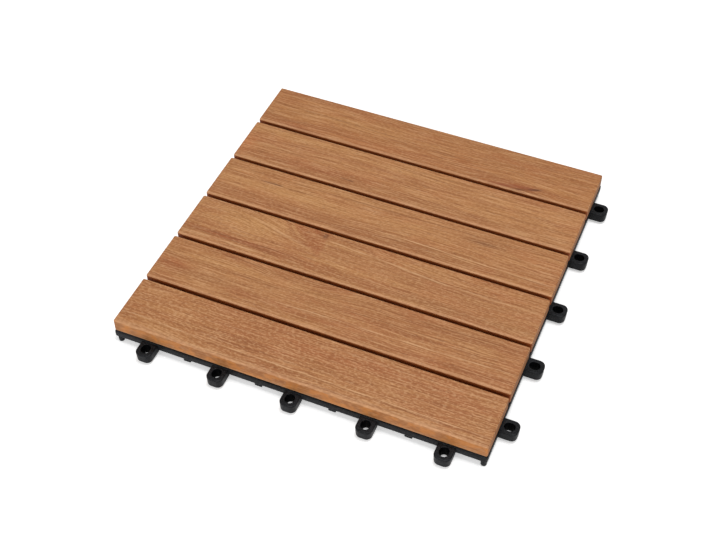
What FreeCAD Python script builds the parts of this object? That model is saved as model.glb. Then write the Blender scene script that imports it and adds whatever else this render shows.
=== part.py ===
# Interlocking deck tile: six hardwood slats screwed from beneath to one moulded plastic base.
# The origin is on the ground under the middle of the tile. X runs along the slats to the right,
# Y runs towards the back and Z runs up. All sizes are in millimetres.
import math
import os

import FreeCAD
import Part

V = FreeCAD.Vector

# Hardwood slats
slat_count = 6
slat_length = 300.0
slat_width = 47.0
slat_gap = 3.6
slat_thickness = 11.6
slat_arris = 0.9

# Moulded base: outer rail, top flange and ribs
base_overhang = 0.5
base_height = 6.8
base_corner_radius = 1.5
rail_wall = 2.4
flange_width = 15.0
flange_thickness = 1.0
rib_wall = 2.0
shallow_rib_depth = 5.0

# Feet that hold the base off the ground
foot_height = 5.0
corner_foot_radius = 2.2
corner_foot_inset = 1.1
corner_foot_tip = 0.7
rib_foot_width = 6.0
rib_foot_inset = 2.4

# Countersunk screws, driven up through bosses in the base
screw_length = 14.0
screw_radius = 1.6
screw_head_radius = 3.4
screw_head_rim = 0.4
screw_fit = 0.05
boss_radius = 5.0

# Flat sides of the small round details: screws, bosses and corner feet
few_sides = 8

# Loops on the front and right sides, each a little past the middle of its step
loops_per_side = 5
loop_shift = 1.2
loop_reach = 13.0
loop_width = 13.4
loop_corner_radius = 5.0
loop_taper_width = 0.4
loop_taper_height = 7.0
loop_rim_chamfer = 0.6
loop_hole_width = 7.2
loop_hole_length = 8.6
loop_end_wall = 2.4
loop_ground_gap = 1.9
loop_flange_gap = 0.2

# Pockets and pegs on the back and left sides, which take the loops of the next tile
lock_peg_clearance = 0.3
lock_peg_tip_gap = 0.4
pocket_side_clearance = 0.6
pocket_end_clearance = 1.0
pocket_wall = 1.6

# How far moulded features reach into each other where they are one piece
root = 0.5

# Worked out from the sizes above
slat_pitch = slat_width + slat_gap
deck_width = slat_count * slat_width + (slat_count - 1) * slat_gap
half_x = slat_length / 2 + base_overhang
half_y = deck_width / 2 + base_overhang
loop_pitch_x = slat_length / loops_per_side
loop_pitch_y = deck_width / loops_per_side
base_top = foot_height + base_height
flange_bottom = base_top - flange_thickness
tile_gap = slat_gap - 2 * base_overhang
screw_head_depth = screw_head_radius - screw_radius
loop_top = flange_bottom - loop_flange_gap
loop_hole_offset = loop_reach - loop_end_wall - loop_hole_length / 2
lock_peg_radius = loop_hole_width / 2 - lock_peg_clearance
lock_peg_inset = loop_hole_offset - tile_gap
lock_peg_tip = loop_ground_gap + lock_peg_tip_gap
pocket_width = loop_width + 2 * pocket_side_clearance
pocket_depth = loop_reach - tile_gap + pocket_end_clearance


def centred(count, pitch):
    """Places of a row of equal steps, centred on zero."""
    return [(k - (count - 1) / 2) * pitch for k in range(count)]


slat_rows = centred(slat_count, slat_pitch)
gap_rows = centred(slat_count - 1, slat_pitch)
loops_along_x = [x + loop_shift for x in centred(loops_per_side, loop_pitch_x)]
loops_along_y = [y + loop_shift for y in centred(loops_per_side, loop_pitch_y)]
between_along_x = centred(loops_per_side - 1, loop_pitch_x)
between_along_y = centred(loops_per_side - 1, loop_pitch_y)
rib_columns = centred(2 * loops_per_side - 1, loop_pitch_x / 2)
foot_columns = rib_columns[::2]
screw_columns = foot_columns[::2]


def block(x0, x1, y0, y1, z0, z1):
    """A box between two corners."""
    return Part.makeBox(x1 - x0, y1 - y0, z1 - z0, V(x0, y0, z0))


def post(radius, x, y, z0, z1):
    """An upright cylinder."""
    return Part.makeCylinder(radius, z1 - z0, V(x, y, z0))


def prism(radius, x, y, z0, z1):
    """An upright post with a few flat sides that touch a circle of the given radius."""
    reach = radius / math.cos(math.pi / few_sides)
    turns = [2 * math.pi * (k + 0.5) / few_sides for k in range(few_sides)]
    corners = [V(x + reach * math.cos(t), y + reach * math.sin(t), z0) for t in turns]
    return Part.Face(Part.makePolygon(corners + corners[:1])).extrude(V(0, 0, z1 - z0))


def upright_edges(shape):
    """The edges of a shape that run straight up."""
    return [e for e in shape.Edges if abs(e.tangentAt(e.FirstParameter).z) > 0.999]


def edges_at(shape, z):
    """The edges of a shape that lie flat at one height."""
    return [e for e in shape.Edges if abs(e.BoundBox.ZMin - z) < 0.01 and abs(e.BoundBox.ZMax - z) < 0.01]


def at(shape, x, y, z):
    """A copy of a shape, moved."""
    copy = shape.copy()
    copy.translate(V(x, y, z))
    return copy


def to_side(shape, place, turn, half):
    """Moves a feature drawn at the origin, pointing to +Y, to its place on one side of the base."""
    moved = at(shape, place, half, 0)
    moved.rotate(V(0, 0, 0), V(0, 0, 1), turn)
    return moved


def frame(x, y, width, z0, z1):
    """A rectangular ring of the given width, inside the rectangle from -x to x and -y to y."""
    outside = block(-x, x, -y, y, z0, z1)
    outside = outside.makeFillet(base_corner_radius, upright_edges(outside))
    return outside.cut(block(width - x, x - width, width - y, y - width, z0, z1))


def tongue(width, back, reach, radius, z0, z1):
    """An upright block that points to +Y from y = back, with its two far corners rounded."""
    h = width / 2
    r = radius
    d = r * (1 - 0.5 ** 0.5)
    outline = Part.Wire([
        Part.makeLine(V(-h, back, z0), V(-h, reach - r, z0)),
        Part.Arc(V(-h, reach - r, z0), V(d - h, reach - d, z0), V(r - h, reach, z0)).toShape(),
        Part.makeLine(V(r - h, reach, z0), V(h - r, reach, z0)),
        Part.Arc(V(h - r, reach, z0), V(h - d, reach - d, z0), V(h, reach - r, z0)).toShape(),
        Part.makeLine(V(h, reach - r, z0), V(h, back, z0)),
        Part.makeLine(V(h, back, z0), V(-h, back, z0)),
    ])
    return Part.Face(outline).extrude(V(0, 0, z1 - z0))


def long_hole(width, length, y, z0, z1):
    """A round-ended hole whose long way is along Y."""
    r = width / 2
    half = length / 2 - r
    hole = block(-r, r, y - half, y + half, z0, z1)
    ends = [post(r, 0, end, z0, z1) for end in (y - half, y + half)]
    return hole.multiFuse(ends).removeSplitter()


def loop():
    """One ring that stands out from the rail and takes a peg of the next tile. It narrows downwards."""
    ring = tongue(loop_width, -rail_wall, loop_reach, loop_corner_radius, loop_ground_gap, loop_top)
    for z, down, inward in ((loop_ground_gap, loop_taper_height, loop_taper_width),
                            (loop_top, loop_rim_chamfer, loop_rim_chamfer)):
        outer = [e for e in edges_at(ring, z) if e.BoundBox.YMax > 0]
        ring = ring.makeChamfer(down, inward, outer)
    return ring.cut(long_hole(loop_hole_width, loop_hole_length, loop_hole_offset,
                              loop_ground_gap - root, loop_top + root))


def pocket_walls():
    """The block round the space that a neighbour's loop slides up into."""
    w = pocket_width / 2 + pocket_wall
    return block(-w, w, -pocket_depth - pocket_wall, 0, foot_height, base_top)


def pocket_space():
    """The space itself, open below and through the rail."""
    w = pocket_width / 2
    return block(-w, w, -pocket_depth, root, foot_height - root, flange_bottom)


def lock_peg():
    """A peg that hangs from the flange into the neighbour's loop."""
    return post(lock_peg_radius, 0, -lock_peg_inset, lock_peg_tip, flange_bottom + root)


def rib_foot(x, y):
    """A square foot under a rib."""
    h = rib_foot_width / 2
    return block(x - h, x + h, y - h, y + h, 0, base_top - root)


def screw_shape(fit):
    """A countersunk screw that stands on its head at z = 0, or with a fit the space that it needs."""
    head = prism(screw_head_radius + fit, 0, 0, 0, screw_head_rim + screw_head_depth)
    head = head.makeChamfer(screw_head_depth, edges_at(head, screw_head_rim + screw_head_depth))
    return head.fuse(prism(screw_radius + fit, 0, 0, 0, screw_length + fit)).removeSplitter()


def slat(y):
    """One eased hardwood board with pilot holes in its underside."""
    board = block(-slat_length / 2, slat_length / 2, y - slat_width / 2, y + slat_width / 2,
                  base_top, base_top + slat_thickness)
    board = board.makeChamfer(slat_arris, board.Edges)
    holes = [at(screw_shape(screw_fit), x, y, foot_height) for x in screw_columns]
    return board.cut(Part.makeCompound(holes))


def ribs():
    """Ribs along Y from every loop and between them, deep ribs under the slats, shallow ones under the gaps."""
    h = rib_wall / 2
    x = half_x - root
    y = half_y - root
    along_y = [block(c - h, c + h, -y, y, foot_height, base_top) for c in rib_columns]
    deep = [block(-x, x, r - h, r + h, foot_height, base_top) for r in slat_rows]
    shallow = [block(-x, x, r - h, r + h, base_top - shallow_rib_depth, base_top) for r in gap_rows]
    return along_y + deep + shallow


def feet():
    """Slim feet at the corners, and square feet under the rib crossings and just behind the rail."""
    cx = half_x - corner_foot_radius - corner_foot_inset
    cy = half_y - corner_foot_radius - corner_foot_inset
    slim = prism(corner_foot_radius, 0, 0, 0, foot_height + root)
    slim = slim.makeChamfer(corner_foot_tip, edges_at(slim, 0))
    found = [at(slim, x, y, 0) for x in (-cx, cx) for y in (-cy, cy)]
    edge_x = half_x - rib_foot_inset - rib_foot_width / 2
    edge_y = half_y - rib_foot_inset - rib_foot_width / 2
    found += [rib_foot(x, y) for x in between_along_x for y in (-edge_y, edge_y)]
    found += [rib_foot(x, y) for x in (-edge_x, edge_x) for y in between_along_y]
    found += [rib_foot(x, y) for x in foot_columns for y in gap_rows[::2]]
    return found


def front_and_right(feature):
    """A feature at every place on the front and right sides."""
    front = [to_side(feature, -x, 180, half_y) for x in loops_along_x]
    return front + [to_side(feature, -y, -90, half_x) for y in loops_along_y]


def back_and_left(feature):
    """A feature at every place on the back and left sides."""
    back = [to_side(feature, x, 0, half_y) for x in loops_along_x]
    return back + [to_side(feature, y, 90, half_x) for y in loops_along_y]


def base_grid():
    """The whole moulding: rail, flange, ribs, bosses, feet, loops, pockets and pegs."""
    screw_places = [(x, y) for x in screw_columns for y in slat_rows]
    solids = [
        frame(half_x, half_y, rail_wall, foot_height, base_top),
        frame(half_x, half_y, flange_width, flange_bottom, base_top),
    ]
    solids += ribs() + feet() + back_and_left(pocket_walls())
    solids += [prism(boss_radius, x, y, foot_height, base_top) for x, y in screw_places]
    body = solids[0].multiFuse(solids[1:])
    hollows = [at(screw_shape(screw_fit), x, y, foot_height) for x, y in screw_places]
    hollows += back_and_left(pocket_space())
    body = body.cut(Part.makeCompound(hollows))
    added = front_and_right(loop()) + back_and_left(lock_peg())
    return body.multiFuse(added).removeSplitter()


def build():
    """Every node of the tile by name."""
    nodes = {"base_grid": base_grid()}
    for k, y in enumerate(slat_rows):
        nodes["slat_%d" % (k + 1)] = slat(y)
    screws = [at(screw_shape(0), x, y, foot_height) for y in slat_rows for x in screw_columns]
    nodes["screws"] = Part.makeCompound(screws)
    return nodes


os.makedirs("parts", exist_ok=True)
for name, shape in build().items():
    shape.exportStep("parts/%s.step" % name)
    box = shape.BoundBox
    print(name, "solids", len(shape.Solids), "valid", shape.isValid(), "volume %.0f" % shape.Volume,
          "x %.1f..%.1f y %.1f..%.1f z %.1f..%.1f" % (box.XMin, box.XMax, box.YMin, box.YMax, box.ZMin, box.ZMax))
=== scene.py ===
import math

import bmesh
import bpy
from mathutils import Euler, Matrix, Vector


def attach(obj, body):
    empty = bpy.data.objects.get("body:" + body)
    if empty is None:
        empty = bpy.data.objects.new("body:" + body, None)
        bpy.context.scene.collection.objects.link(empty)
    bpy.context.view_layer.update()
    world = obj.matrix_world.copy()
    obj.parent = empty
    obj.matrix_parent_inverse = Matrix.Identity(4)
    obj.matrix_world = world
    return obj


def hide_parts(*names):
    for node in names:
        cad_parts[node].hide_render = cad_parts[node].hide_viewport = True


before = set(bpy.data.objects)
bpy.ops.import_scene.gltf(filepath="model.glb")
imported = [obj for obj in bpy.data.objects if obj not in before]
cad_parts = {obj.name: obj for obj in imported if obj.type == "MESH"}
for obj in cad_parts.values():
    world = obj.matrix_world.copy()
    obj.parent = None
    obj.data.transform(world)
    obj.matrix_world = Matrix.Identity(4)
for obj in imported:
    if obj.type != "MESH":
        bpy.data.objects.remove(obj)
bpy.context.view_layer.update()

# The six slats are planed hardwood boards with softly eased arrises, oiled once and laid side by side with
# open gaps. Each is one piece of wood, screwed up from below, and each has its own figure: quiet straight
# grain, a flame by a small pin knot, a scratch or a few pale lines. The tile's sizes are in millimetres.
mm = 0.001
slat_count = 6
slat_length = 300.0
slat_width = 47.0
slat_gap = 3.6
slat_thickness = 11.6
slat_arris = 1.3
base_high = 11.8
deck_top = base_high + slat_thickness
slat_rows = [(k - (slat_count - 1) / 2) * (slat_width + slat_gap) for k in range(slat_count)]


def colour(code):
    """An sRGB hex colour as the linear numbers that the shader takes."""
    parts = [int(code[k:k + 2], 16) / 255 for k in (0, 2, 4)]
    return [c / 12.92 if c <= 0.04045 else ((c + 0.055) / 1.055) ** 2.4 for c in parts] + [1.0]


def add(tree, kind, *inputs, **settings):
    """A node of a material with its settings. Each input in turn is a value, a link from a socket or from a
    node's first output, or None to leave it as it is."""
    node = tree.nodes.new("ShaderNode" + kind)
    for key, value in settings.items():
        setattr(node, key, value)
    for socket, value in zip([s for s in node.inputs if s.enabled], inputs):
        if isinstance(value, bpy.types.Node):
            value = [s for s in value.outputs if s.enabled][0]
        if isinstance(value, bpy.types.NodeSocket):
            tree.links.new(value, socket)
        elif value is not None:
            socket.default_value = value
    return node


def window(tree, value, low, high, soft):
    """1 where a value lies between low and high, fading to 0 over a soft edge."""
    up = add(tree, "MapRange", value, low - soft, low + soft, 0.0, 1.0, interpolation_type="SMOOTHSTEP")
    down = add(tree, "MapRange", value, high - soft, high + soft, 1.0, 0.0, interpolation_type="SMOOTHSTEP")
    return add(tree, "Math", up, down, operation="MULTIPLY")


def stretched_noise(tree, along, across, up, lengths, detail, seed, fine=0.55):
    """Noise between 0 and 1 whose grains have the given lengths in millimetres along X, Y and Z."""
    place = add(tree, "CombineXYZ", add(tree, "Math", along, lengths[0], operation="DIVIDE"),
                add(tree, "Math", across, lengths[1], operation="DIVIDE"),
                add(tree, "Math", up, 1 / lengths[2], seed, operation="MULTIPLY_ADD"))
    return add(tree, "TexNoise", place, 1.0, detail, fine)


def pushed(tree, value, noise, reach):
    """A value moved either way by a noise, by up to half the given reach."""
    push = add(tree, "Math", noise, 0.5, operation="SUBTRACT")
    return add(tree, "Math", push, reach, value, operation="MULTIPLY_ADD")


def spot(tree, along, across, x, y, reach_x, reach_y):
    """1 at one place on the face, fading to 0 at about the given reach."""
    dx = add(tree, "Math", add(tree, "Math", along, x, operation="SUBTRACT"), reach_x, operation="DIVIDE")
    dy = add(tree, "Math", add(tree, "Math", across, y, operation="SUBTRACT"), reach_y, operation="DIVIDE")
    far = add(tree, "Math", dx, dx, add(tree, "Math", dy, dy, operation="MULTIPLY"), operation="MULTIPLY_ADD")
    return add(tree, "Math", math.exp(-1), far, operation="POWER")


def laid_over(tree, under, code, amount, strength):
    """A colour laid over another where an amount says so."""
    share = add(tree, "Math", amount, strength, operation="MULTIPLY")
    return add(tree, "Mix", share, under, colour(code), data_type="RGBA")


def oiled_hardwood(name, row, look):
    """Planed and oiled red-brown hardwood. To the eye it is warm orange tan with straight fibres, soft darker
    growth lines a few millimetres apart, thin dark streaks, short pores and a low, broken sheen."""
    material = bpy.data.materials.new(name)
    material.use_nodes = True
    tree = material.node_tree
    shader = tree.nodes["Principled BSDF"]
    place = add(tree, "Mapping", add(tree, "TexCoord").outputs["Object"], (0, row * mm, deck_top * mm), None,
                (mm, mm, mm), vector_type="TEXTURE")
    x, y, z = add(tree, "SeparateXYZ", place).outputs
    seed = look["seed"]

    # The grain wanders by a few millimetres, leans a little, and sweeps round a knot or a former branch.
    drift = stretched_noise(tree, x, y, z, (110.0, 34.0, 34.0), 1.0, seed)
    ripple = stretched_noise(tree, x, y, z, (26.0, 9.0, 9.0), 1.0, seed + 3.7)
    wander = pushed(tree, pushed(tree, y, ripple, 1.6), drift, 3.0)
    across = pushed(tree, wander, drift, 4.0)
    across = add(tree, "Math", x, look["lean"], across, operation="MULTIPLY_ADD")
    for start, peak, end, low, high, push in look["sweeps"]:
        rise = add(tree, "MapRange", x, start, peak, 0.0, push, interpolation_type="SMOOTHSTEP")
        fall = add(tree, "MapRange", x, peak, end, 1.0, 0.0, interpolation_type="SMOOTHSTEP")
        height = add(tree, "MapRange", y, low, high, 0.0, 1.0, interpolation_type="SMOOTHSTEP")
        sweep = add(tree, "Math", rise, fall, operation="MULTIPLY")
        across = add(tree, "Math", sweep, height, across, operation="MULTIPLY_ADD")

    # Growth lines about 3 mm apart, thin dark streaks, broader bands of tone and blotches of redder wood.
    lines = stretched_noise(tree, x, across, z, (240.0, 2.8, 7.0), 3.0, seed + 11.0, 0.68)
    streaks = stretched_noise(tree, x, across, z, (210.0, 8.0, 14.0), 1.5, seed + 17.0)
    bands = stretched_noise(tree, x, across, z, (150.0, 10.0, 14.0), 2.0, seed + 23.0)
    blotches = stretched_noise(tree, x, y, z, (42.0, 16.0, 20.0), 3.0, seed + 31.0)
    # Fibres and pores are 0.1 to 0.2 mm wide in the real wood. They are drawn 0.8 to 0.9 mm wide, to show.
    fibres = stretched_noise(tree, x, across, z, (30.0, 0.9, 1.2), 1.5, seed + 41.0)
    pores = stretched_noise(tree, x, across, z, (7.0, 0.8, 1.0), 1.0, seed + 53.0)
    # Ray flecks are about 0.3 mm in the real wood, and are drawn 1.5 mm wide.
    flecks = stretched_noise(tree, x, y, z, (3.0, 1.5, 1.5), 1.0, seed + 61.0)

    tone = add(tree, "ValToRGB", lines)
    tone.color_ramp.elements[0].position = 0.30
    tone.color_ramp.elements[0].color = colour("9C6238")
    tone.color_ramp.elements[1].position = 0.68
    tone.color_ramp.elements[1].color = colour("C58B59")
    tone.color_ramp.elements.new(0.48).color = colour("B17747")
    shown = laid_over(tree, tone, "A0623A", window(tree, bands, -1.0, 0.45, 0.08), 0.38)
    shown = laid_over(tree, shown, "C9935F", window(tree, bands, 0.57, 2.0, 0.08), 0.30)
    shown = laid_over(tree, shown, "B06A40", window(tree, blotches, 0.54, 2.0, 0.08), 0.34)
    if "cast" in look:
        cast, strength = look["cast"]
        shown = laid_over(tree, shown, cast, 1.0, strength)
    # The flame: pointed arches of dark and pale wood that open to one side, with a redder patch at their tip.
    if "flame" in look:
        left, foot, right = look["flame"]
        beyond = add(tree, "Math", add(tree, "Math", x, left, operation="SUBTRACT"), 0.0, operation="MAXIMUM")
        above = add(tree, "Math", add(tree, "Math", y, foot, operation="SUBTRACT"), 0.0, operation="MAXIMUM")
        arc = add(tree, "Math", beyond, above, operation="MULTIPLY")
        arc = pushed(tree, add(tree, "Math", arc, 0.5, operation="POWER"), ripple, 3.0)
        arcs = stretched_noise(tree, x, y, arc, (60.0, 60.0, 2.3), 1.0, seed + 71.0)
        inside = add(tree, "Math", window(tree, x, left, right, 6.0), window(tree, arc, 9.0, 60.0, 4.0),
                     operation="MULTIPLY")
        for low, high, code, strength in ((0.53, 2.0, "91502A", 0.60), (-1.0, 0.47, "D09C68", 0.55)):
            band = add(tree, "Math", inside, window(tree, arcs, low, high, 0.06), operation="MULTIPLY")
            shown = laid_over(tree, shown, code, band, strength)
        heart = window(tree, add(tree, "Math", x, 0.83, wander, operation="MULTIPLY_ADD"), right, 90.0, 2.5)
        heart = add(tree, "Math", heart, window(tree, x, left, right, 2.0), operation="MULTIPLY")
        shown = laid_over(tree, shown, "A0552A", heart, 0.64)
    # Most stains are the wood's own tone; the long dark ones along a slat's front strip are painted shade.
    for x0, y0, reach_x, reach_y, code, strength in look["stains_and_front_shade"]:
        shown = laid_over(tree, shown, code, spot(tree, x, wander, x0, y0, reach_x, reach_y), strength)
    shown = laid_over(tree, shown, "8A5230", window(tree, streaks, 0.492, 0.508, 0.012), 0.42)
    shown = laid_over(tree, shown, "8F5831", window(tree, fibres, -1.0, 0.43, 0.08), 0.50)
    shown = laid_over(tree, shown, "D6A476", window(tree, fibres, 0.58, 2.0, 0.07), 0.46)
    shown = laid_over(tree, shown, "6E3F22", window(tree, pores, -1.0, 0.33, 0.05), 0.50)
    shown = laid_over(tree, shown, "8C5730", window(tree, flecks, -1.0, 0.42, 0.10), look["fleck"])
    shown = laid_over(tree, shown, "DDAE80", window(tree, flecks, 0.58, 2.0, 0.10), look["fleck"])
    breaks = stretched_noise(tree, x, y, z, (14.0, 3.0, 3.0), 1.0, seed + 67.0)
    breaks = add(tree, "MapRange", breaks, 0.35, 0.60, 0.35, 1.0)
    for start, end, height, rise, half, code, strength in look["lines"]:
        line = add(tree, "Math", x, -rise, add(tree, "Math", wander, height, operation="SUBTRACT"),
                   operation="MULTIPLY_ADD")
        line = add(tree, "Math", window(tree, line, -half, half, half),
                   window(tree, x, start, end, (end - start) * 0.15), operation="MULTIPLY")
        line = add(tree, "Math", line, breaks, operation="MULTIPLY")
        shown = laid_over(tree, shown, code, line, strength)
    # The front arris is painted paler, a painted highlight where the eased edge catches the light. The sides
    # are yellower with short brighter spots and a paler foot, and the ones that face a gap are painted dark
    # red-brown, as painted shade in the gaps.
    # Painted highlight: the last 2 mm of the top at each slat's front edge is painted paler.
    painted_arris_highlight = add(tree, "Math", window(tree, z, -0.9, 5.0, 0.3), window(tree, y, -30.0, -21.7, 0.6),
                 operation="MULTIPLY")
    shown = laid_over(tree, shown, "D9A87E", painted_arris_highlight, 0.34)
    side = window(tree, z, -30.0, -1.2, 0.5)
    shown = laid_over(tree, shown, "A86A35", side, 0.54)
    patches = stretched_noise(tree, x, y, z, (9.0, 20.0, 7.0), 2.0, seed + 83.0)
    for low, high, code, strength in ((0.54, 2.0, "D08238", 0.45), (-1.0, 0.43, "8A5428", 0.28)):
        patch = add(tree, "Math", side, window(tree, patches, low, high, 0.08), operation="MULTIPLY")
        shown = laid_over(tree, shown, code, patch, strength)
    shown = laid_over(tree, shown, "CDA581", window(tree, z, -11.4, -9.8, 0.4), 0.30)
    # Painted shade: the sides that face a gap are darkened red-brown, where the gaps lie in shade.
    painted_gap_shade = window(tree, add(tree, "Math", y, row, operation="ADD"), -149.0, 149.0, 0.3)
    shown = laid_over(tree, shown, "8C3500", add(tree, "Math", side, painted_gap_shade, operation="MULTIPLY"), 0.70)
    tree.links.new(shown.outputs[2], shader.inputs["Base Color"])

    rough = add(tree, "MapRange", fibres, 0.3, 0.7, 0.66, 0.50)
    tree.links.new(rough.outputs[0], shader.inputs["Roughness"])
    shader.inputs["IOR"].default_value = 1.45
    shader.inputs["Specular IOR Level"].default_value = 0.35
    relief = add(tree, "Math", fibres, 0.6, lines, operation="MULTIPLY_ADD")
    bump = add(tree, "Bump", 0.4, 0.16 * mm, None, relief)
    tree.links.new(bump.outputs[0], shader.inputs["Normal"])
    return material


def sawn_end_grain(name, row, look):
    """The sawn ends of the boards. To the eye they are darker and duller than the faces, with ring lines
    that run across the board and close dots of open pores."""
    material = bpy.data.materials.new(name)
    material.use_nodes = True
    tree = material.node_tree
    shader = tree.nodes["Principled BSDF"]
    place = add(tree, "Mapping", add(tree, "TexCoord").outputs["Object"], (0, row * mm, deck_top * mm), None,
                (mm, mm, mm), vector_type="TEXTURE")
    x, y, z = add(tree, "SeparateXYZ", place).outputs
    seed = look["seed"]
    drift = stretched_noise(tree, x, y, z, (60.0, 25.0, 12.0), 1.0, seed)
    up = add(tree, "Math", drift, 6.0, z, operation="MULTIPLY_ADD")
    # The rings are about 1.3 mm apart. Pores are 0.1 to 0.2 mm across in the real wood, and are drawn 0.6 to
    # 0.7 mm across, to show.
    rings = stretched_noise(tree, x, y, up, (60.0, 30.0, 1.3), 2.0, seed + 7.0)
    dots = stretched_noise(tree, x, y, z, (0.7, 0.6, 0.6), 1.0, seed + 9.0)
    shown = add(tree, "Mix", window(tree, rings, 0.35, 0.60, 0.10), colour("82502E"), colour("A36D43"),
                data_type="RGBA")
    shown = laid_over(tree, shown, "55311B", window(tree, dots, -1.0, 0.38, 0.06), 0.6)
    tree.links.new(shown.outputs[2], shader.inputs["Base Color"])
    shader.inputs["Roughness"].default_value = 0.75
    shader.inputs["Specular IOR Level"].default_value = 0.35
    bump = add(tree, "Bump", 0.4, 0.12 * mm, None, dots)
    tree.links.new(bump.outputs[0], shader.inputs["Normal"])
    return material


def finished(name, shape, materials, nodes):
    """A finished mesh as a piece of the tile that stands for the given CAD nodes."""
    mesh = bpy.data.meshes.new(name)
    bmesh.ops.recalc_face_normals(shape, faces=shape.faces)
    for face in shape.faces:
        face.smooth = True
    shape.to_mesh(mesh)
    shape.free()
    mesh.set_sharp_from_angle(angle=math.radians(35))
    for material in materials:
        mesh.materials.append(material)
    piece = bpy.data.objects.new(name, mesh)
    bpy.context.scene.collection.objects.link(piece)
    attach(piece, "root")
    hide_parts(*nodes)
    return piece


def block(shape, low, high, edges=None, ease=0.0, steps=3):
    """A block between two corners, with the edges that a test names rounded."""
    low, high = Vector(low) * mm, Vector(high) * mm
    verts = bmesh.ops.create_cube(shape, size=1)["verts"]
    bmesh.ops.scale(shape, vec=high - low, verts=verts)
    bmesh.ops.translate(shape, vec=(low + high) / 2, verts=verts)
    if edges:
        own = dict.fromkeys(e for v in verts for e in v.link_edges)
        ends = {e: (e.verts[0].co, e.verts[1].co) for e in own}
        chosen = [e for e, (start, end) in ends.items() if edges((start + end) / 2 / mm, end - start)]
        bmesh.ops.bevel(shape, geom=chosen, offset=ease * mm, affect="EDGES", segments=steps, profile=0.5,
                        material=-1)
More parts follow.
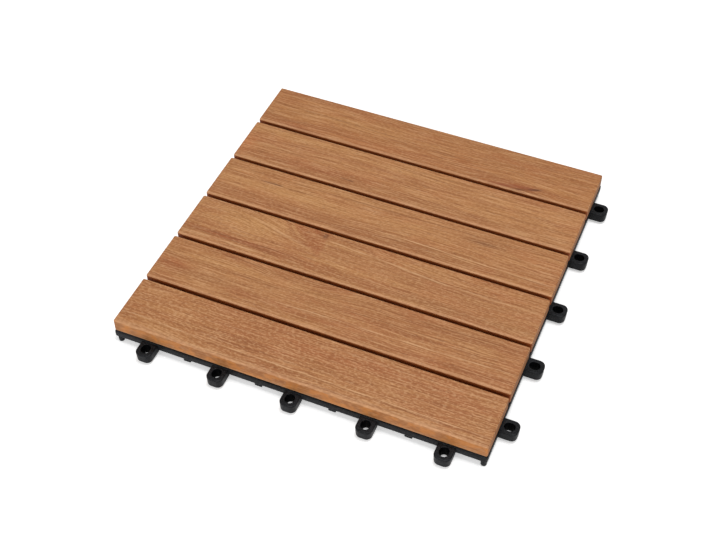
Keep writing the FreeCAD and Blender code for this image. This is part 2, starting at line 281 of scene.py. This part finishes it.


# Places on a slat are counted from the middle of its top face. A sweep has its start, peak and end along the
# slat, the heights where it starts and is full, and its push. A stain is a place, its reach both ways, its
# colour and strength; the long dark stains at about 17 mm in front of a slat's middle are painted shade along
# its front strip, and the rest are the wood's own tone. A line has its start and end, its height at the
# middle of the slat, its slope, half its width, its colour and strength.
dark, deep, brown, red, pale, gold = "7A4822", "5A3018", "8C5A34", "AA6038", "E0B285", "CB955C"
slat_looks = [
    dict(seed=2.0, lean=0.002, fleck=0.33, cast=("844727", 0.12), sweeps=[(-120, -60, 30, -4, -20, 3.0)],
         stains_and_front_shade=[(10, 10, 120, 9, red, 0.30), (-20, -2, 16, 5, red, 0.35), (120, -4, 12, 6, red, 0.35),
                 (-110, 8, 30, 14, gold, 0.20), (-115, -15, 42, 7, gold, 0.35), (90, -7, 50, 5, brown, 0.15)],
         lines=[(-135, 150, -13.7, -0.012, 0.4, pale, 0.70), (-130, 150, -15.2, -0.012, 0.4, dark, 0.35),
                (-150, 150, -20.6, 0.0, 0.6, pale, 0.35), (15, 148, 15.5, 0.0, 0.5, pale, 0.35)]),
    dict(seed=17.0, lean=-0.004, fleck=0.21, cast=("844727", 0.11), sweeps=[(-110, -35, 30, 0, 16, 6.0)],
         stains_and_front_shade=[(-137, -4, 14, 5, "A6542E", 0.55), (100, -12, 40, 6, red, 0.30),
                 (-105, 8, 45, 6, gold, 0.50), (-115, -8, 45, 4, brown, 0.35),
                 (110, 16, 45, 6, brown, 0.20), (-30, 8, 50, 5, gold, 0.20)],
         lines=[(-95, -30, 11.0, -0.10, 0.5, dark, 0.45), (-38, 20, 12.2, 0.12, 0.5, dark, 0.45),
                (15, 150, 15.9, 0.0, 0.5, dark, 0.45), (-150, 150, 3.8, 0.0, 0.5, dark, 0.45),
                (-48, 150, -9.0, 0.02, 0.4, pale, 0.65), (-140, -20, 19.0, 0.0, 0.5, dark, 0.30)]),
    dict(seed=29.0, lean=0.020, fleck=0.25, flame=(-78, -2, -34),
         sweeps=[(-125, -37, 900, -10, 10, 14.0), (-37, 80, 900, -12, 16, 7.0)],
         stains_and_front_shade=[(-50, 13, 13, 9, "8E4E2A", 0.35), (-38, 18.2, 4, 2.6, "6E3C1C", 0.60),
                 (-100, -12.8, 52, 2.8, "9C4C28", 0.70), (60, 17, 30, 5, gold, 0.35),
                 (-98, 8, 38, 13, gold, 0.60), (-78, 17, 10, 6, gold, 0.30), (80, -17, 90, 5, brown, 0.42),
                 (-5, -8, 30, 4, gold, 0.35), (70, 0, 50, 4, brown, 0.20)],
         lines=[(-38.2, -35.0, 18.6, 0.0, 2.0, deep, 0.85), (-152, -52, -11.3, 0.01, 0.7, dark, 0.60),
                (-152, -60, -14.3, 0.01, 0.6, dark, 0.60), (-52, 15, -13.2, 0.0, 0.5, dark, 0.35),
                (-150, -80, -18.7, 0.0, 0.8, pale, 0.45), (-32, 70, 12.6, -0.085, 0.6, pale, 0.50),
                (60, 150, 8.7, -0.025, 0.5, pale, 0.45), (-25, 150, 9.9, -0.06, 0.5, dark, 0.35),
                (-100, -50, -9.9, -0.255, 0.8, pale, 0.45)]),
    dict(seed=43.0, lean=-0.003, fleck=0.20, cast=("E8A870", 0.03), sweeps=[(-20, 60, 150, -2, -16, 2.0)],
         stains_and_front_shade=[(84, 9.2, 13, 2.2, "6E3C1C", 0.85), (-80, -16, 95, 6, "92532C", 0.50),
                 (20, -17, 70, 5, brown, 0.30), (-85, 2, 75, 8, gold, 0.50), (40, 0, 60, 7, gold, 0.30),
                 (0, 17, 130, 6, gold, 0.35), (84, 12, 24, 8, brown, 0.25)],
         lines=[(-114, -94, 7.5, 0.0, 0.6, deep, 0.80), (-90, -66, 6.9, 0.0, 0.5, dark, 0.50),
                (-8, 155, -11.0, -0.018, 0.4, pale, 0.70), (-8, 155, -12.3, -0.018, 0.4, dark, 0.45),
                (-150, 155, 15.0, 0.0, 0.6, dark, 0.35), (-60, 140, 18.5, 0.0, 0.5, dark, 0.30)]),
    dict(seed=59.0, lean=0.003, fleck=0.19, cast=("E8A870", 0.06), sweeps=[(0, 60, 150, 0, 16, 3.0)],
         stains_and_front_shade=[(-66, -15, 20, 3, red, 0.45), (-145, -6, 7, 12, "C0703F", 0.45), (90, -2, 60, 9, gold, 0.30),
                 (-95, -17, 75, 5, "92532C", 0.50), (50, -17, 100, 5, brown, 0.32),
                 (-110, 17, 55, 6, gold, 0.50), (10, 17, 60, 6, gold, 0.40)],
         lines=[(-53, -41, -15.6, 0.0, 0.6, deep, 0.85), (-112, -102, -15.6, 0.0, 0.5, dark, 0.50),
                (-140, -70, -5.5, -0.02, 0.4, dark, 0.55), (-134, -90, -3.6, -0.02, 0.5, pale, 0.40),
                (-16, 28, 3.1, 0.0, 0.5, dark, 0.45), (76, 148, -5.0, 0.0, 0.5, dark, 0.45),
                (2, 58, 17.9, 0.0, 0.6, dark, 0.50), (70, 92, 13.1, 0.0, 0.6, dark, 0.45)]),
    dict(seed=71.0, lean=-0.002, fleck=0.17, cast=("A86324", 0.15),
         sweeps=[(-110, 10, 130, -6, 12, 5.5), (40, 80, 130, -8, -20, -5.0)],
         stains_and_front_shade=[(-118, -21, 26, 3, "8E4A2C", 0.60), (-20, -17, 110, 6, red, 0.35),
                 (92, -20, 18, 4, dark, 0.45), (-85, 1, 75, 6, gold, 0.40), (110, -8, 40, 5, gold, 0.25),
                 (55, -16, 30, 5, brown, 0.30), (88, -18.5, 15, 4, "A0522A", 0.55),
                 (60, 17, 70, 5, brown, 0.20)],
         lines=[(-150, -20, -0.8, -0.03, 0.5, dark, 0.50), (-20, 150, -4.2, 0.02, 0.5, dark, 0.45),
                (62, 150, 3.0, 0.0, 0.5, dark, 0.35), (-145, -45, -15.5, 0.0, 0.5, dark, 0.45),
                (84, 108, -49.5, 0.32, 1.1, deep, 0.95), (62, 100, -36.3, 0.20, 1.3, "8E4A2C", 0.70),
                (58, 94, -29.5, 0.13, 0.9, "8E4A2C", 0.55)]),
]
for number, (row, look) in enumerate(zip(slat_rows, slat_looks), 1):
    shape = bmesh.new()
    block(shape, (-slat_length / 2, row - slat_width / 2, base_high),
          (slat_length / 2, row + slat_width / 2, deck_top), lambda middle, way: True, slat_arris, 4)
    for face in shape.faces:
        face.material_index = 1 if abs(face.normal.x) > 0.9 else 0
    woods = [oiled_hardwood("oiled_hardwood_%d" % number, row, look),
             sawn_end_grain("sawn_end_grain_%d" % number, row, look)]
    slat = finished("slat_%d_wood" % number, shape, woods, ["slat_%d" % number])
    slat.modifiers.new("even_shading", "WEIGHTED_NORMAL").keep_sharp = True


# The base is one injection moulding in black polypropylene: a rail round the edge with a flange on top, a
# grid of ribs below the slats, and bosses that take the screws. On the back and left sides the rail opens
# into pockets. In each pocket a round peg hangs down, for the loops of the next tile.
base_half = 150.5
base_low = 5.0
flange_low = 10.8
rail_wall = 2.4
flange_width = 15.0
corner_round = 1.5
rim_ease = 0.35
half_rib = 1.0
rib_pitch = 30
rib_reach = base_half - 0.5
rib_ease = 0.2
shallow_rib_low = 6.8
steps = [-120, -60, 0, 60, 120]
between_steps = [-90, -30, 30, 90]
loop_shift = 1.2
loop_places = [step + loop_shift for step in steps]
pocket_half = 7.3
pocket_depth = 11.4
pocket_wall = 1.6
peg_radius = 3.3
peg_inset = 3.7
peg_tip = 2.3
screw_places = [(x, row) for x in steps[::2] for row in slat_rows]
boss_radius = 5.0
shank_radius = 1.6
head_radius = 3.4
head_rim = 0.4
head_depth = 2.2
screw_play = 0.05
# Posts and feet run this far into what they grow from.
root = 0.5
# A cutter runs this far past the face that it opens.
past = 1.0


def moulded_polypropylene(name, deep_code, bloom_code, grain_code, shine):
    """Black polypropylene moulded against a finely spark-eroded tool. To the eye it is a matte, faintly
    blue-grey black with a fine even grain, a soft sheen on its rims and a little grey bloom in patches."""
    material = bpy.data.materials.new(name)
    material.use_nodes = True
    tree = material.node_tree
    shader = tree.nodes["Principled BSDF"]
    place = add(tree, "Mapping", add(tree, "TexCoord").outputs["Object"], None, None, (mm, mm, mm),
                vector_type="TEXTURE")
    # The tool's texture is about 0.05 mm. It is drawn at 0.8 mm, so that it shows. The patches of bloom are
    # about 15 mm across.
    grain = add(tree, "TexNoise", place, 1.3, 2.0)
    bloom = add(tree, "TexNoise", place, 0.07, 3.0)
    shown = add(tree, "Mix", window(tree, bloom, 0.55, 2.0, 0.15), colour(deep_code), colour(bloom_code),
                data_type="RGBA")
    shown = laid_over(tree, shown, grain_code, window(tree, grain, 0.54, 2.0, 0.06), 0.50)
    tree.links.new(shown.outputs[2], shader.inputs["Base Color"])
    rough = add(tree, "MapRange", grain, 0.3, 0.7, 0.28, 0.44)
    tree.links.new(rough.outputs[0], shader.inputs["Roughness"])
    shader.inputs["IOR"].default_value = 1.49
    shader.inputs["Specular IOR Level"].default_value = shine
    bump = add(tree, "Bump", 0.25, 0.06 * mm, None, grain)
    tree.links.new(bump.outputs[0], shader.inputs["Normal"])
    return material


def post(shape, x, y, low, high, radius, top_radius=None, sides=40, ease=0.0):
    """A round upright post, which may taper, with its lower rim rounded."""
    top_radius = radius if top_radius is None else top_radius
    middle = Matrix.Translation(Vector((x, y, (low + high) / 2)) * mm)
    verts = bmesh.ops.create_cone(shape, cap_ends=True, cap_tris=False, segments=sides, radius1=radius * mm,
                                  radius2=top_radius * mm, depth=(high - low) * mm, matrix=middle)["verts"]
    if ease:
        own = dict.fromkeys(e for v in verts for e in v.link_edges)
        rim = [e for e in own if all(abs(v.co.z - low * mm) < 1e-6 for v in e.verts)]
        bmesh.ops.bevel(shape, geom=rim, offset=ease * mm, affect="EDGES", segments=4, profile=0.5,
                        material=-1)


def low_edges(height):
    """A test for a block's edges that lie at its foot."""
    return lambda middle, way: middle.z < height + 0.01


def turned(point, side):
    """A point drawn at the back side, turned about the tile's middle by that many quarter turns."""
    return Matrix.Rotation(math.radians(90 * side), 4, "Z") @ Vector(point)


def side_block(shape, side, low, high, ease=0.0):
    """A block drawn at the back side and turned to another, with its foot eased."""
    a, b = turned(low, side), turned(high, side)
    low = [min(p, q) for p, q in zip(a, b)]
    high = [max(p, q) for p, q in zip(a, b)]
    block(shape, low, high, low_edges(low[2]) if ease else None, ease, 2)


def carved(shape, cutter):
    """The shape with its overlapping blocks made one and the cutter's blocks taken away. Points and faces are
    put in order of place first, so that every run carves them alike."""
    pair = []
    for part in (shape, cutter):
        bmesh.ops.recalc_face_normals(part, faces=part.faces)
        points = sorted(part.verts, key=lambda v: v.co.to_tuple(7))
        rank = {v: k for k, v in enumerate(points)}
        turns = [[rank[v] for v in face.verts] for face in part.faces]
        turns = sorted(turn[turn.index(min(turn)):] + turn[:turn.index(min(turn))] for turn in turns)
        mesh = bpy.data.meshes.new("carving")
        mesh.from_pydata([v.co.copy() for v in points], [], turns)
        part.free()
        pair.append(bpy.data.objects.new("carving", mesh))
        bpy.context.scene.collection.objects.link(pair[-1])
    cut = pair[0].modifiers.new("cut", "BOOLEAN")
    cut.operation = "DIFFERENCE"
    cut.solver = "EXACT"
    cut.use_self = True
    cut.object = pair[1]
    result = bmesh.new()
    result.from_object(pair[0], bpy.context.evaluated_depsgraph_get())
    for item in pair:
        bpy.data.meshes.remove(item.data)
    return result


polypropylene = moulded_polypropylene("moulded_black_polypropylene", "0D0E10", "191A1D", "323336", 0.11)

grid = bmesh.new()
block(grid, (-base_half, -base_half, base_low), (base_half, base_half, base_high))
foot_face = min(grid.faces, key=lambda f: f.calc_center_median().z)
top_face = max(grid.faces, key=lambda f: f.calc_center_median().z)
bmesh.ops.inset_region(grid, faces=[foot_face], thickness=rail_wall * mm, use_even_offset=True)
roof_face = bmesh.ops.extrude_discrete_faces(grid, faces=[foot_face])["faces"][0]
bmesh.ops.translate(grid, vec=(0, 0, (flange_low - base_low) * mm), verts=roof_face.verts)
bmesh.ops.inset_region(grid, faces=[roof_face], thickness=(flange_width - rail_wall) * mm,
                       use_even_offset=True)
bmesh.ops.inset_region(grid, faces=[top_face], thickness=flange_width * mm, use_even_offset=True)
opening_edges = list(roof_face.edges) + list(top_face.edges)
bmesh.ops.delete(grid, geom=[roof_face, top_face], context="FACES_ONLY")
bmesh.ops.bridge_loops(grid, edges=opening_edges)
corner_line = (base_half - 0.1) * mm
outer_corners = [e for e in grid.edges if all(min(abs(v.co.x), abs(v.co.y)) > corner_line for v in e.verts)]
bmesh.ops.bevel(grid, geom=outer_corners, offset=corner_round * mm, affect="EDGES", segments=5, profile=0.5,
                material=-1)
rim_line = (base_half - corner_round) * mm
outer_rims = [e for e in grid.edges if abs(e.verts[0].co.z - e.verts[1].co.z) < 1e-6
              and all(max(abs(v.co.x), abs(v.co.y)) > rim_line for v in e.verts)]
bmesh.ops.bevel(grid, geom=outer_rims, offset=rim_ease * mm, affect="EDGES", segments=2, profile=0.5,
                material=-1)

for k in range(-4, 5):
    block(grid, (rib_pitch * k - half_rib, -rib_reach, base_low),
          (rib_pitch * k + half_rib, rib_reach, base_high), low_edges(base_low), rib_ease, 1)
for row in slat_rows:
    block(grid, (-rib_reach, row - half_rib, base_low), (rib_reach, row + half_rib, base_high),
          low_edges(base_low), rib_ease, 1)
for first, second in zip(slat_rows, slat_rows[1:]):
    gap = (first + second) / 2
    block(grid, (-rib_reach, gap - half_rib, shallow_rib_low), (rib_reach, gap + half_rib, base_high),
          low_edges(shallow_rib_low), rib_ease, 1)
for x, y in screw_places:
    post(grid, x, y, base_low, base_high, boss_radius, ease=0.3)
shell_half = pocket_half + pocket_wall
shell_depth = pocket_depth + pocket_wall
for side in (0, 1):
    for p in loop_places:
        side_block(grid, side, (p - shell_half, base_half - shell_depth, base_low),
                   (p + shell_half, base_half - 1.0, base_high), rib_ease)

shank_hole = shank_radius + screw_play
head_hole = head_radius + screw_play
hollows = bmesh.new()
for x, y in screw_places:
    post(hollows, x, y, base_low - past, base_high + past, shank_hole, sides=24)
    post(hollows, x, y, base_low - past, base_low + head_rim, head_hole)
    post(hollows, x, y, base_low + head_rim, base_low + head_depth, head_hole, shank_hole)
for side in (0, 1):
    for p in loop_places:
        side_block(hollows, side, (p - pocket_half, base_half - pocket_depth, base_low - past),
                   (p + pocket_half, base_half + past, flange_low))
grid = carved(grid, hollows)
finished("base_grid_moulding", grid, [polypropylene], ["base_grid"])

pegs = bmesh.new()
for side in (0, 1):
    for p in loop_places:
        centre = turned((p, base_half - peg_inset, 0), side)
        post(pegs, centre.x, centre.y, peg_tip, flange_low + root, peg_radius, sides=48, ease=0.8)
finished("base_lock_pegs", pegs, [polypropylene], ["base_grid"])


# The feet are part of the same moulding. Slim round ones stand at the corners, and square ones under the
# crossings of the ribs and just behind the rail, where they show as small tabs between the loops.
corner_foot_tip = 2.3
corner_foot_neck = 2.4
rail_foot_place = 145.1
half_foot = 3.0
# Every second gap between the slats has a row of feet under it.
foot_rows = [2 * (slat_width + slat_gap) * k for k in (-1, 0, 1)]
feet = bmesh.new()
for x in (-146.7, 147.5):
    for y in (-148.0, 147.2):
        post(feet, x, y, 0.0, base_low + root, corner_foot_tip, corner_foot_neck, sides=32, ease=0.7)
square_feet = [(x, y) for x in between_steps for y in (-rail_foot_place, rail_foot_place)]
square_feet += [(x, y) for x in (-rail_foot_place, rail_foot_place) for y in between_steps]
square_feet += [(x, y) for x in steps for y in foot_rows]
for x, y in square_feet:
    block(feet, (x - half_foot, y - half_foot, 0.0), (x + half_foot, y + half_foot, base_high - root),
          lambda middle, way: middle.z < flange_low, 0.3, 2)
finished("base_feet", feet, [polypropylene], ["base_grid"])


# The ten loops on the front and right sides belong to the moulding too. Each is a thick-walled, round-nosed
# ring that narrows a little downwards, with a round-ended hole right through and soft rims. A neighbour's
# peg drops into it.
loop_top = 10.6
loop_foot = 1.9
loop_reach = 13.0
loop_half_width = 6.7
loop_root = 2.0
loop_nose = 4.8
loop_rim = 0.9
draft_height = 7.0
draft = 0.4
hole_middle = 5.7
# The hole's radius, how far its round ends are drawn apart either way, and the height, from the top down.
hole_rings = ((3.9, 0.6, loop_top), (3.7, 0.6, 10.5), (3.6, 0.6, 10.2),
              (2.6, 0.8, 2.3), (2.8, 0.8, loop_foot))
# The hole's wall is painted the deepest black with almost no sheen, as painted shade inside the hole.
painted_hole_shade = moulded_polypropylene("hole_shade_black_polypropylene", "08080A", "0A0A0C", "0C0C0E", 0.03)


def long_ring(shape, radius, stretch, height):
    """The edges of a round-ended outline, longer along Y, that the hole of a loop has at one height."""
    middle = Matrix.Translation(Vector((0, hole_middle, height)) * mm)
    verts = bmesh.ops.create_circle(shape, segments=40, radius=radius * mm, matrix=middle)["verts"]
    for v in verts:
        away = v.co.y - hole_middle * mm
        if abs(away) > 0.01 * mm:
            v.co.y += math.copysign(stretch * mm, away)
    return list(dict.fromkeys(e for v in verts for e in v.link_edges))


def loop_ring():
    """One loop drawn at the origin, pointing to +Y."""
    ring = bmesh.new()
    block(ring, (-loop_half_width, -loop_root, loop_foot + draft_height),
          (loop_half_width, loop_reach, loop_top),
          lambda middle, way: abs(way.z) > 1 * mm and middle.y > 10, loop_nose, 12)
    sole = min(ring.faces, key=lambda f: f.calc_center_median().z)
    bmesh.ops.inset_region(ring, faces=[sole], thickness=draft * mm, depth=draft_height * mm,
                           use_even_offset=True)
    top = max(ring.faces, key=lambda f: f.calc_center_median().z)
    bmesh.ops.bevel(ring, geom=list(sole.edges) + list(top.edges), offset=loop_rim * mm, affect="EDGES",
                    segments=5, profile=0.5, material=-1)
    hole = [long_ring(ring, *sizes) for sizes in hole_rings]
    for end, rim in ((max, hole[0]), (min, hole[-1])):
        face = end(ring.faces, key=lambda f: f.calc_center_median().z)
        outline = list(face.edges)
        bmesh.ops.delete(ring, geom=[face], context="FACES_ONLY")
        bmesh.ops.triangle_fill(ring, edges=outline + rim, use_beauty=True)
    for upper, lower in zip(hole, hole[1:]):
        # The wall between the hole's rims takes the second material, painted near-black as shade in the hole.
        for face in bmesh.ops.bridge_loops(ring, edges=upper + lower)["faces"]:
            face.material_index = 1 if upper is hole[2] else 0
    return ring


# The two rows of loops don't sit quite alike along their rails, so each row has its own shift.
loops = bmesh.new()
for side, shift in ((2, -1.0), (3, 0.9)):
    for p in [place + shift for place in loop_places]:
        ring = loop_ring()
        bmesh.ops.translate(ring, vec=Vector((-p, base_half, 0)) * mm, verts=ring.verts)
        bmesh.ops.transform(ring, matrix=Matrix.Rotation(math.radians(90 * side), 4, "Z"), verts=ring.verts)
        one = bpy.data.meshes.new("loop")
        ring.to_mesh(one)
        ring.free()
        loops.from_mesh(one)
        bpy.data.meshes.remove(one)
loops = finished("base_loops", loops, [polypropylene, painted_hole_shade], ["base_grid"])
loops.modifiers.new("even_shading", "WEIGHTED_NORMAL").keep_sharp = True


# The screws are stainless steel, countersunk, with a cross recess. They are driven up from beneath until
# their heads are level with the bosses, and show only on the underside.
def stainless_steel():
    """Plain cold-formed stainless steel. To the eye it is mid grey, slightly dull metal with soft, uneven
    gloss and a few darker specks."""
    material = bpy.data.materials.new("cold_formed_stainless_steel")
    material.use_nodes = True
    tree = material.node_tree
    shader = tree.nodes["Principled BSDF"]
    place = add(tree, "Mapping", add(tree, "TexCoord").outputs["Object"], None, None, (mm, mm, mm),
                vector_type="TEXTURE")
    # The specks that forming leaves are a little over half a millimetre across.
    specks = add(tree, "TexNoise", place, 1.6, 3.0)
    shown = add(tree, "Mix", window(tree, specks, 0.55, 2.0, 0.1), colour("B4B2AE"), colour("8F8D89"),
                data_type="RGBA")
    tree.links.new(shown.outputs[2], shader.inputs["Base Color"])
    shader.inputs["Metallic"].default_value = 1.0
    rough = add(tree, "MapRange", specks, 0.3, 0.7, 0.28, 0.46)
    tree.links.new(rough.outputs[0], shader.inputs["Roughness"])
    return material


point_low = 17.0
screw_tip = 19.0
cross_top = 6.2
arm = 1.9
half_slot = 0.5
screw = bmesh.new()
post(screw, 0, 0, base_low, base_low + head_rim, head_radius, ease=0.15)
post(screw, 0, 0, base_low + head_rim, base_low + head_depth, head_radius, shank_radius)
post(screw, 0, 0, base_low + head_depth - 0.2, point_low, shank_radius, sides=24)
post(screw, 0, 0, point_low, screw_tip, shank_radius, 0.2, sides=24)
cross = bmesh.new()
for x, y in ((arm, half_slot), (half_slot, arm)):
    block(cross, (-x, -y, base_low - past), (x, y, cross_top),
          lambda middle, way: middle.z > cross_top - 0.1, 0.3, 1)
screw = carved(screw, cross)
one = bpy.data.meshes.new("screw")
screw.to_mesh(one)
screw.free()
screws = bmesh.new()
for turn, (x, y) in enumerate(screw_places):
    start = len(screws.verts)
    screws.from_mesh(one)
    screws.verts.ensure_lookup_table()
    own = screws.verts[start:]
    # Each screw came to rest at a turn of its own.
    bmesh.ops.rotate(screws, cent=(0, 0, 0), matrix=Matrix.Rotation(2.4 * turn, 3, "Z"), verts=own)
    bmesh.ops.translate(screws, vec=(x * mm, y * mm, 0), verts=own)
bpy.data.meshes.remove(one)
finished("cross_recess_screws", screws, [stainless_steel()], ["screws"])


# The stage, in metres: a plain white floor that keeps the tile's tight contact shadow, even white light from
# all round, a large soft lamp above and a wide one low in front, and the camera at the photograph's angle.
floor_shape = bmesh.new()
bmesh.ops.create_grid(floor_shape, x_segments=1, y_segments=1, size=4.0)
floor_mesh = bpy.data.meshes.new("floor")
floor_shape.to_mesh(floor_mesh)
floor_shape.free()
floor = bpy.data.objects.new("floor", floor_mesh)
bpy.context.scene.collection.objects.link(floor)
floor_white = bpy.data.materials.new("white_floor")
floor_white.use_nodes = True
tree = floor_white.node_tree
tree.nodes.remove(tree.nodes["Principled BSDF"])
path = add(tree, "LightPath").outputs
mirrored = add(tree, "Math", path["Is Glossy Ray"], path["Is Transmission Ray"], operation="MAXIMUM")
strength = add(tree, "Math", mirrored, 0.05, operation="MULTIPLY")
strength = add(tree, "Math", path["Is Camera Ray"], 0.40, strength, operation="MULTIPLY_ADD")
glow = add(tree, "Emission", colour("FFFFFF"), strength)
both = add(tree, "AddShader", add(tree, "BsdfDiffuse", colour("FFFFFF")), glow)
tree.links.new(both.outputs[0], tree.nodes["Material Output"].inputs["Surface"])
floor_mesh.materials.append(floor_white)

world = bpy.data.worlds.new("white_room")
bpy.context.scene.world = world
world.use_nodes = True
tree = world.node_tree
path = add(tree, "LightPath").outputs
mirrored = add(tree, "Math", path["Is Glossy Ray"], path["Is Transmission Ray"], operation="MAXIMUM")
seen = add(tree, "Math", path["Is Camera Ray"], mirrored, operation="MAXIMUM")
level = add(tree, "MapRange", seen, 0.0, 1.0, 0.34, 1.0)
tree.nodes["Background"].inputs["Color"].default_value = colour("FFFFFF")
tree.links.new(level.outputs[0], tree.nodes["Background"].inputs["Strength"])


def soft_lamp(name, place, width, depth, watts):
    """A rectangular lamp that faces the tile."""
    data = bpy.data.lights.new(name, "AREA")
    data.shape = "RECTANGLE"
    data.size = width
    data.size_y = depth
    data.energy = watts
    lamp = bpy.data.objects.new(name, data)
    lamp.location = place
    lamp.rotation_euler = (-Vector(place)).to_track_quat("-Z", "Y").to_euler()
    bpy.context.scene.collection.objects.link(lamp)


soft_lamp("overhead_lamp", (0.28, 0.02, 2.2), 0.8, 0.75, 22.5)
soft_lamp("front_lamp", (0.10, -1.25, 0.55), 1.4, 0.6, 7.0)

camera_data = bpy.data.cameras.new("camera")
camera_data.sensor_width = 36.0
camera_data.lens = 61.77
camera_data.clip_start = 0.01
camera = bpy.data.objects.new("camera", camera_data)
camera.location = (0.25512, -0.63079, 0.73593)
camera.rotation_euler = Euler([math.radians(a) for a in (42.447, 0.060, 22.849)], "XYZ")
bpy.context.scene.collection.objects.link(camera)
bpy.context.scene.camera = camera
bpy.context.scene.view_settings.view_transform = "Standard"
